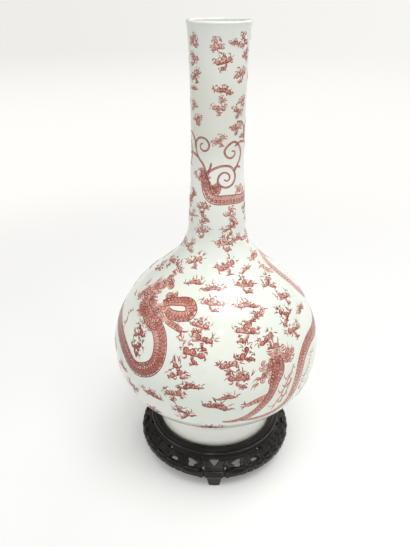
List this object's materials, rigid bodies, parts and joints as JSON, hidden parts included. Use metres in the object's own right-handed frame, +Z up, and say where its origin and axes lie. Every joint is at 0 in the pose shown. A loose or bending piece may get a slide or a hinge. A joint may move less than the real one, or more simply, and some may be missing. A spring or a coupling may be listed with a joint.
{
  "type": "globular bottle vase on a carved stand",
  "caption": "Porcelain bottle vase with a globular body, a long neck and a foot ring, standing loose in a pierced, carved hardwood stand on three legs.",
  "frame": {"origin": "on the table, under the middle of the stand", "axes": "+Z up through the vase's mouth, -Y towards the front leg and the viewer"},
  "size_m": [0.2024, 0.2024, 0.425],
  "materials": {
    "porcelain": "glossy pale glaze with iron-red painting",
    "hardwood": "near-black stained hardwood, waxed to a satin",
    "bamboo": "bare bamboo"
  },
  "bodies": {
    "stand": {"seat_ring": "hardwood", "seat_panel": "hardwood", "leg_front": "hardwood", "leg_right": "hardwood", "leg_left": "hardwood", "apron_right": "hardwood", "apron_back": "hardwood", "apron_left": "hardwood", "peg_apron_right_a": "bamboo", "peg_apron_right_b": "bamboo", "peg_apron_back_a": "bamboo", "peg_apron_back_b": "bamboo", "peg_apron_left_a": "bamboo", "peg_apron_left_b": "bamboo"},
    "vase": {"vase": "porcelain"}
  },
  "joints": [
    {"name": "vase_lift", "type": "slide", "parent": "stand", "child": "vase", "axis": [0, 0, 1], "range_m": [0, 0.06]}
  ]
}
